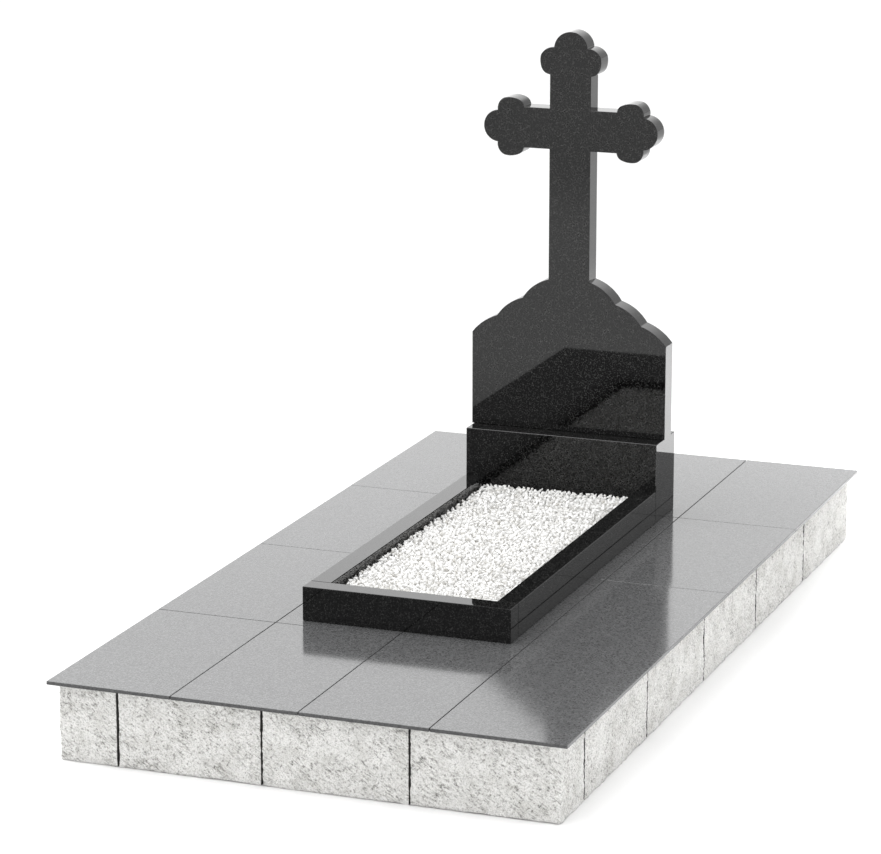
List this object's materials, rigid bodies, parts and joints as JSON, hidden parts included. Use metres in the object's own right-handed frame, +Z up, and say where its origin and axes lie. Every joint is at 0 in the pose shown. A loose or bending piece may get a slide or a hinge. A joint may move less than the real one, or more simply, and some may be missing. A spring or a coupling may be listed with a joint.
{
  "type": "cross headstone",
  "caption": "Black granite headstone cut to a budded cross, on a plinth with a kerbed bed of marble chips, on slab paving over split-faced blocks.",
  "frame": {"origin": "bottom centre of the base, on the ground", "axes": "+X to the right of the memorial seen from its foot, +Y towards the headstone, +Z up"},
  "size_m": [1.182, 2.342, 1.3851],
  "materials": {
    "black_granite": "polished black granite with fine grey flecks",
    "marble_chips": "loose crushed white marble",
    "grey_slab": "semi-polished grey stone, fine grain",
    "split_stone": "split-faced pale stone",
    "concrete": "plain concrete"
  },
  "bodies": {
    "root": {"stele": "black_granite", "plinth": "black_granite", "kerb_front": "black_granite", "kerb_left": "black_granite", "kerb_right": "black_granite", "chip_bed": "marble_chips", "base_bed": "concrete", "paving_slab_r1_c1": "grey_slab", "paving_slab_r1_c2": "grey_slab", "paving_slab_r1_c3": "grey_slab", "paving_slab_r1_c4": "grey_slab", "paving_slab_r2_c1": "grey_slab", "paving_slab_r2_c2": "grey_slab", "paving_slab_r2_c3": "grey_slab", "paving_slab_r2_c4": "grey_slab", "paving_slab_r3_c1": "grey_slab", "paving_slab_r3_c2": "grey_slab", "paving_slab_r3_c3": "grey_slab", "paving_slab_r3_c4": "grey_slab", "paving_slab_r4_c1": "grey_slab", "paving_slab_r4_c2": "grey_slab", "paving_slab_r4_c3": "grey_slab", "paving_slab_r4_c4": "grey_slab", "base_block_front_1": "split_stone", "base_block_front_2": "split_stone", "base_block_front_3": "split_stone", "base_block_right_1": "split_stone", "base_block_right_2": "split_stone", "base_block_right_3": "split_stone", "base_block_right_4": "split_stone", "base_block_right_5": "split_stone", "base_block_back_1": "split_stone", "base_block_back_2": "split_stone", "base_block_back_3": "split_stone", "base_block_left_1": "split_stone", "base_block_left_2": "split_stone", "base_block_left_3": "split_stone", "base_block_left_4": "split_stone", "base_block_left_5": "split_stone"}
  },
  "joints": []
}
